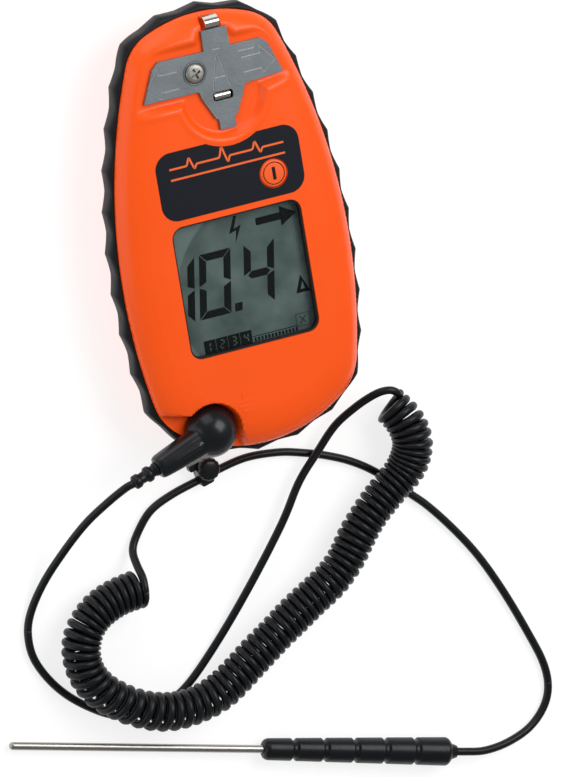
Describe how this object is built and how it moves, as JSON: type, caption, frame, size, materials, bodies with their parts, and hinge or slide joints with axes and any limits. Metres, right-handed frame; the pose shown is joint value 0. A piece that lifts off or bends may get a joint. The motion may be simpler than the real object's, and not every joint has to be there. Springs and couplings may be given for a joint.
{
  "type": "electric fence tester with earth lead",
  "caption": "Hand-held electric-fence tester: egg-shaped case with display and contact plate, rubber grip band, plug-in coiled lead and earth probe.",
  "frame": {"origin": "centre of the flat rear face, on the surface the case lies on", "axes": "+X to the right of the display, +Y towards the contact plate, +Z out of the display face"},
  "size_m": [0.2132, 0.3068, 0.0346],
  "materials": {
    "orange_shell": "moulded, glossy orange",
    "orange_button": "satin orange",
    "band_rubber": "matt black elastomer",
    "seal_rubber": "soft black",
    "label_film": "printed dark blue-black film",
    "clear_window": "clear",
    "display_glass": "grey-green display",
    "white_plastic": "natural white",
    "zebra_rubber": "striped pink elastomer",
    "circuit_board": "green solder mask",
    "black_plastic": "matt black",
    "copper_wire": "enamelled copper",
    "plate_metal": "dull grey stamped plate",
    "screw_steel": "plated",
    "nickel_strip": "bright nickel plate",
    "brass_insert": "turned",
    "red_wire": "insulated wire",
    "battery_jacket": "plain dark jacket",
    "foam_pad": "closed-cell foam",
    "paper_label": "blank rating label",
    "plug_black": "glossy black",
    "cable_rubber": "smooth black jacket",
    "rod_steel": "polished stainless"
  },
  "bodies": {
    "case": {"front_cover": "orange_shell", "rear_cover": "orange_shell", "grip_band": "band_rubber", "case_seal": "seal_rubber", "face_label": "label_film", "lcd_window": "clear_window", "lcd_panel": "display_glass", "lcd_bezel": "white_plastic", "zebra_strip": "zebra_rubber", "main_board": "circuit_board", "board_components": "black_plastic", "tactile_switch": "black_plastic", "sense_coil": "copper_wire", "contact_plate": "plate_metal", "contact_screw": "screw_steel", "contact_strip": "nickel_strip", "contact_insert": "brass_insert", "earth_socket": "nickel_strip", "socket_wire": "red_wire", "battery": "battery_jacket", "battery_snap": "black_plastic", "battery_wires": "red_wire", "battery_pad": "foam_pad", "case_screws": "screw_steel", "rear_label": "paper_label"},
    "door": {"battery_door": "orange_shell"},
    "button": {"power_button": "orange_button", "switch_plunger": "black_plastic"},
    "pin": {"plug_pin": "nickel_strip", "plug_spring": "brass_insert"},
    "plug": {"plug_housing": "plug_black", "plug_boot": "cable_rubber"},
    "cord": {"plug_cable": "cable_rubber", "coil_cord": "cable_rubber"},
    "lead": {"probe_cable": "cable_rubber", "cable_clip": "plug_black"},
    "probe": {"probe_handle": "plug_black", "probe_grommet": "cable_rubber", "probe_rod": "rod_steel"}
  },
  "joints": [
    {"name": "door_slide", "type": "slide", "parent": "case", "child": "door", "axis": [0, 1, 0], "range_m": [0, 0.03]},
    {"name": "button_press", "type": "slide", "parent": "case", "child": "button", "axis": [0, 0, -1], "range_m": [0, 0.0005], "stiffness_N_per_m": 3000, "springref_m": -0.0004},
    {"name": "plug_pull", "type": "slide", "parent": "case", "child": "pin", "axis": [0, 0, 1], "range_m": [0, 0.02]},
    {"name": "plug_swivel", "type": "hinge", "parent": "pin", "child": "plug", "pos_m": [-0.0213, -0.0712, 0], "axis": [0, 0, 1], "range_deg": [-20, 35]},
    {"name": "cable_flex", "type": "hinge", "parent": "plug", "child": "cord", "pos_m": [-0.0213, -0.0712, 0], "axis": [0, 0, 1], "range_deg": [-35, 20], "deforming": ["plug_cable"]},
    {"name": "coil_stretch", "type": "slide", "parent": "cord", "child": "lead", "axis": [-0.7915, -0.6112, 0], "range_m": [0, 0.03], "deforming": ["coil_cord", "probe_cable"]},
    {"name": "probe_swing", "type": "hinge", "parent": "lead", "child": "probe", "pos_m": [0.0576, -0.2183, 0.00545], "axis": [0, 0, 1], "range_deg": [0, 30]}
  ],
  "couplings": [
    {"joint": "cable_flex", "follows": "plug_swivel", "ratio": -1}
  ]
}
